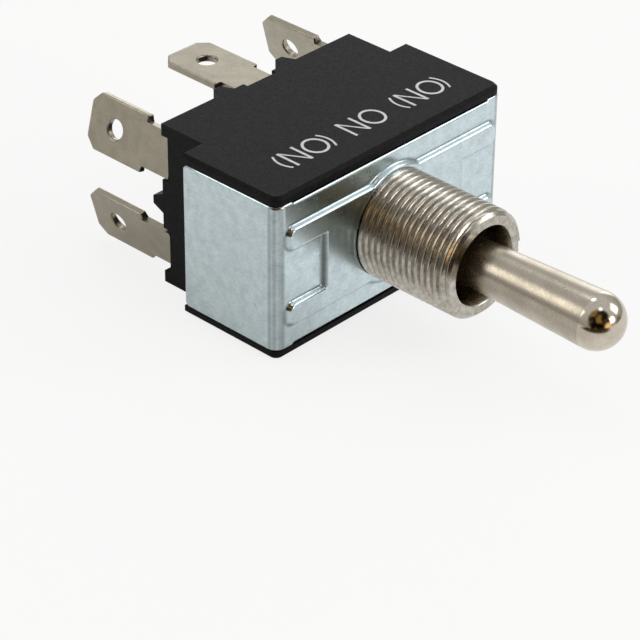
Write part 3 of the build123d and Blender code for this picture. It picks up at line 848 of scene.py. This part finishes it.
def floorPiece(size, level):
    mesh = bpy.data.meshes.new("floor")
    corners = [(x * size["reach"], y * size["reach"], level) for x, y in ((-1, -1), (1, -1), (1, 1), (-1, 1))]
    mesh.from_pydata(corners, [], [(0, 1, 2, 3)])
    mesh.materials.append(floorMaterial(size))
    return addObject("floor", mesh)


floor = floorPiece(floorSheet, cadBox[0][2])
print("floor done")


# A light tent: an even sky with a bright backdrop and a dark opening where the camera looks in.
# A patch is a name, a direction, the cosines where it starts and is full, its strength and its tint;
# a lamp is a name, a direction, its width as a share of its distance, its brightness and its tint
studio = dict(
    low=0.58, high=0.7, start=0.0, full=0.8, floorward="#DAD6CE", skyward="#FFFFFF",
    patches=(
        ("backdrop", (0.77, 0.63, 0.10), 0.88, 0.97, 2.1, "#FFFFFF"),
        ("far left", (-0.82, 0.57, 0.0), 0.984, 0.998, 0.35, "#D8CDB8"),
        ("low right", (0.62, -0.785, 0.0), 0.95, 0.985, 0.3, "#D8CDB8"),
        ("opening", (-0.56, -0.66, 0.50), 0.70, 0.80, 0.6, None),
        ("warm front", (-0.15, -0.98, 0.09), 0.96, 0.99, 1.9, "#EEC488"),
    ),
    # The dark room behind the opening, with warm lamps in it
    room=("#120D08", "#C79C58"), roomScale=3.0, roomDetail=2.0, roomFrom=0.50, roomTo=0.62,
    lamps=(
        ("right", (0.66, -0.52, 0.54), 0.26, 3.0, "#F8FBFF"),
        ("top", (0.21, 0.36, 0.905), 0.12, 3.5, "#FFFFFF"),
        ("rear_left", (-0.63, 0.56, 0.535), 0.25, 1.85, "#FFFAF2"),
        ("front_top", (-0.08, -0.36, 0.93), 0.11, 2.6, "#FFFFFF"),
        ("front_low", (0.21, -0.92, 0.32), 0.16, 9.0, "#FFF4EE"),
    ),
    away=0.6, aim=(0, -0.005, 0),
)


def addLamp(name, way, width, bright, tint, size):
    lamp = bpy.data.lights.new(name, "AREA")
    lamp.shape = "RECTANGLE"
    lamp.size = lamp.size_y = width
    # Power from the wanted brightness of the lamp's face
    lamp.energy = bright * math.pi * width**2
    lamp.color = linearColour(tint)[:3]
    place = Vector([v * size["away"] for v in way])
    turn = (Vector(size["aim"]) - place).to_track_quat("-Z", "Y").to_matrix().to_4x4()
    addObject(name, lamp).matrix_world = Matrix.Translation(place) @ turn


def buildSky(size):
    world = bpy.data.worlds.new("studio")
    bpy.context.scene.world = world
    world.use_nodes = True
    sky = world.node_tree
    backdrop = sky.nodes["Background"]
    direction = addNode(sky, "ShaderNodeTexCoord").outputs["Generated"]
    height = addNode(sky, "ShaderNodeSeparateXYZ", {"Vector": direction}).outputs["Z"]
    span = {"Value": height, "From Min": size["start"], "From Max": size["full"]}
    level = addNode(
        sky, "ShaderNodeMapRange", {**span, "To Min": size["low"], "To Max": size["high"]}
    ).outputs["Result"]
    share = addNode(sky, "ShaderNodeMapRange", span).outputs["Result"]
    tone = addNode(
        sky, "ShaderNodeMixRGB",
        {"Fac": share, "Color1": linearColour(size["floorward"]), "Color2": linearColour(size["skyward"])},
    ).outputs["Color"]
    streaks = addNode(
        sky, "ShaderNodeTexNoise",
        {"Vector": direction, "Scale": size["roomScale"], "Detail": size["roomDetail"]},
    ).outputs["Fac"]
    warm = addNode(
        sky, "ShaderNodeMapRange",
        {"Value": streaks, "From Min": size["roomFrom"], "From Max": size["roomTo"]},
    ).outputs["Result"]
    room = addNode(
        sky, "ShaderNodeMixRGB",
        {"Fac": warm, "Color1": linearColour(size["room"][0]), "Color2": linearColour(size["room"][1])},
    ).outputs["Color"]
    for _, way, start, full, strength, tint in size["patches"]:
        toward = addNode(
            sky, "ShaderNodeVectorMath", {0: direction, 1: way}, operation="DOT_PRODUCT"
        ).outputs["Value"]
        inside = addNode(
            sky, "ShaderNodeMapRange", {"Value": toward, "From Min": start, "From Max": full},
            interpolation_type="SMOOTHSTEP",
        ).outputs["Result"]
        tone = addNode(
            sky, "ShaderNodeMixRGB",
            {"Fac": inside, "Color1": tone, "Color2": linearColour(tint) if tint else room},
        ).outputs["Color"]
        level = addNode(
            sky, "ShaderNodeMapRange", {"Value": inside, "To Min": level, "To Max": strength}
        ).outputs["Result"]
    sky.links.new(level, backdrop.inputs["Strength"])
    sky.links.new(tone, backdrop.inputs["Color"])
    # Seen by the camera itself, the sky is plain white
    white = addNode(sky, "ShaderNodeBackground", {"Color": (1, 1, 1, 1), "Strength": 1.0})
    seen = addNode(sky, "ShaderNodeLightPath").outputs["Is Camera Ray"]
    chosen = addNode(sky, "ShaderNodeMixShader", {0: seen, 1: backdrop.outputs[0], 2: white.outputs[0]})
    sky.links.new(chosen.outputs[0], sky.nodes["World Output"].inputs["Surface"])


for lampValues in studio["lamps"]:
    addLamp(*lampValues, studio)
buildSky(studio)
print("light done")

bpy.context.scene.view_settings.view_transform = "Standard"
